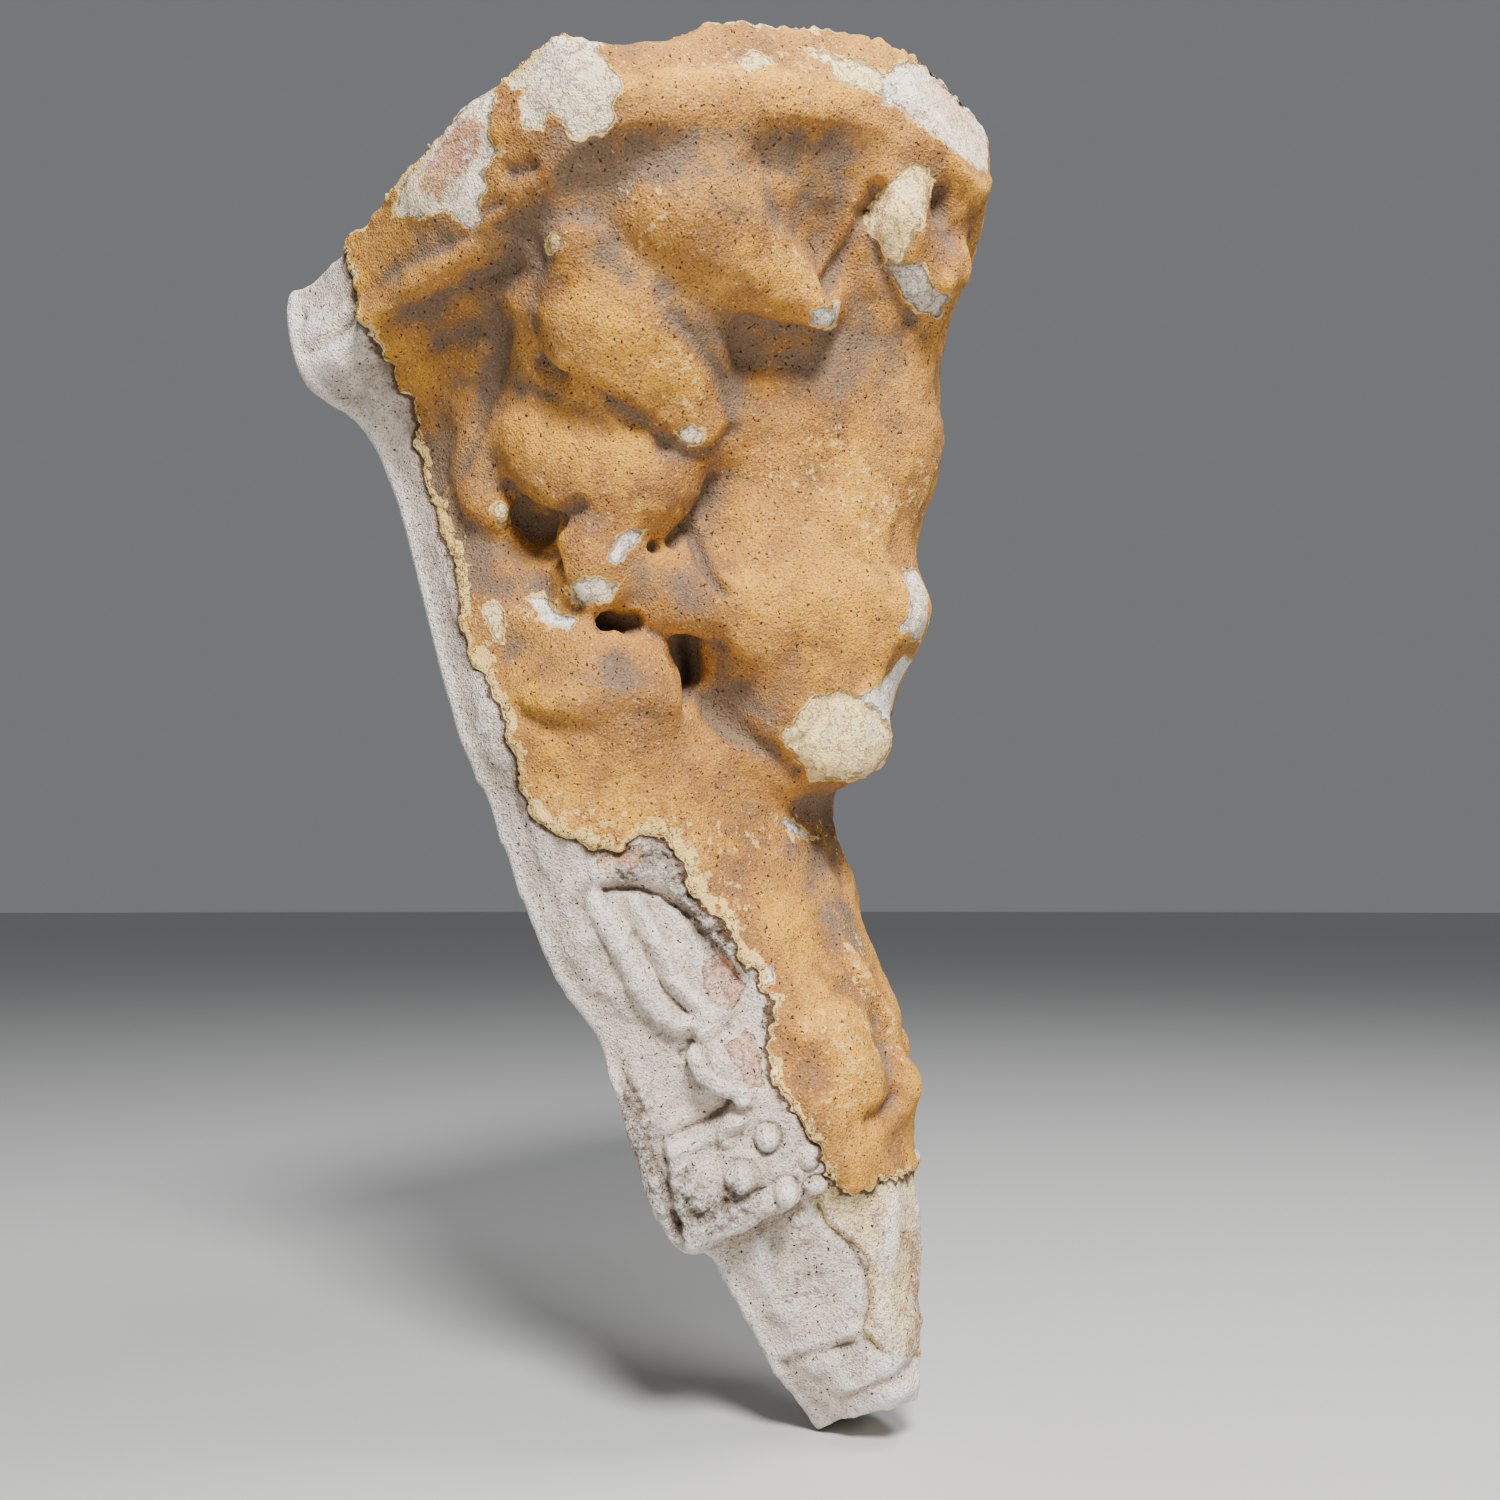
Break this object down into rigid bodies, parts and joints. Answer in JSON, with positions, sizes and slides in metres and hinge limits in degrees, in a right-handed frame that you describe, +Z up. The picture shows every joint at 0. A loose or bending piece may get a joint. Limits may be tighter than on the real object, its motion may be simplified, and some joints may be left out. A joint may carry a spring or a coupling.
{
  "type": "pilaster section",
  "caption": "Tapered wall bracket from a pilaster in cast lime plaster, a drooping leaf and petals under a broad rim, with worn ochre paint.",
  "frame": {"origin": "on the flat back, on its middle line, 300 mm above the back's lower corner", "axes": "+Z up the height to the rim, +Y out of the flat back into the wall, -Y out to the carved front, +X to the right seen from the front"},
  "size_m": [0.354, 0.2587, 0.509],
  "materials": {
    "painted_plaster": "matte"
  },
  "bodies": {
    "root": {"pilaster_section": "painted_plaster"}
  },
  "joints": []
}
